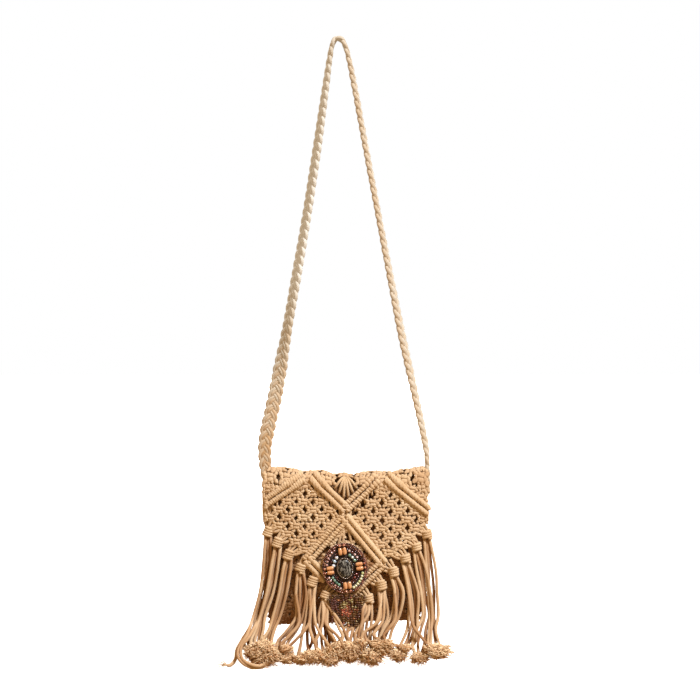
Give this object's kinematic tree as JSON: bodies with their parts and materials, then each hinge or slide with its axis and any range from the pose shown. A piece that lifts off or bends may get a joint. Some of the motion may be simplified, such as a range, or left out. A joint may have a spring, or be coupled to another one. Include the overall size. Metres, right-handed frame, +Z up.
{
  "type": "macrame shoulder bag",
  "caption": "Knotted cotton shoulder bag with a V-shaped flap, long fringe, a beaded oval medallion and a braided strap, shown hanging.",
  "frame": {"origin": "where the strap hangs, under its highest bend", "axes": "+Z up, the bag's front with the flap faces -Y, +X to the right as seen from the front"},
  "size_m": [0.314, 0.084, 0.8261],
  "materials": {
    "cotton_cord": "matte",
    "dark_felt": "matte",
    "plum_seed_beads": "gloss",
    "mixed_seed_beads": "gloss",
    "orange_barrels": "satin",
    "black_bezel_beads": "gloss",
    "black_stone": "polished",
    "bronze_seed_beads": "gloss"
  },
  "bodies": {
    "root": {"strap": "cotton_cord", "pouch": "cotton_cord", "flap": "cotton_cord", "side_lacing_left": "cotton_cord", "side_lacing_right": "cotton_cord", "tassel_left_1": "cotton_cord", "tassel_left_2": "cotton_cord", "tassel_left_3": "cotton_cord", "tassel_left_4": "cotton_cord", "tassel_left_5": "cotton_cord", "tassel_left_6": "cotton_cord", "tassel_right_1": "cotton_cord", "tassel_right_2": "cotton_cord", "tassel_right_3": "cotton_cord", "tassel_right_4": "cotton_cord", "tassel_right_5": "cotton_cord", "tassel_right_6": "cotton_cord", "medallion_backing": "dark_felt", "medallion_rim": "plum_seed_beads", "cabochon_bezel": "black_bezel_beads", "cabochon": "black_stone", "bead_field_1": "mixed_seed_beads", "bead_field_2": "mixed_seed_beads", "bead_field_3": "mixed_seed_beads", "bead_field_4": "mixed_seed_beads", "barrel_bead_1": "orange_barrels", "barrel_bead_2": "orange_barrels", "barrel_bead_3": "orange_barrels", "barrel_bead_4": "orange_barrels", "barrel_bead_5": "orange_barrels", "barrel_bead_6": "orange_barrels", "barrel_bead_7": "orange_barrels", "barrel_bead_8": "orange_barrels", "bead_tail": "bronze_seed_beads"}
  },
  "joints": []
}
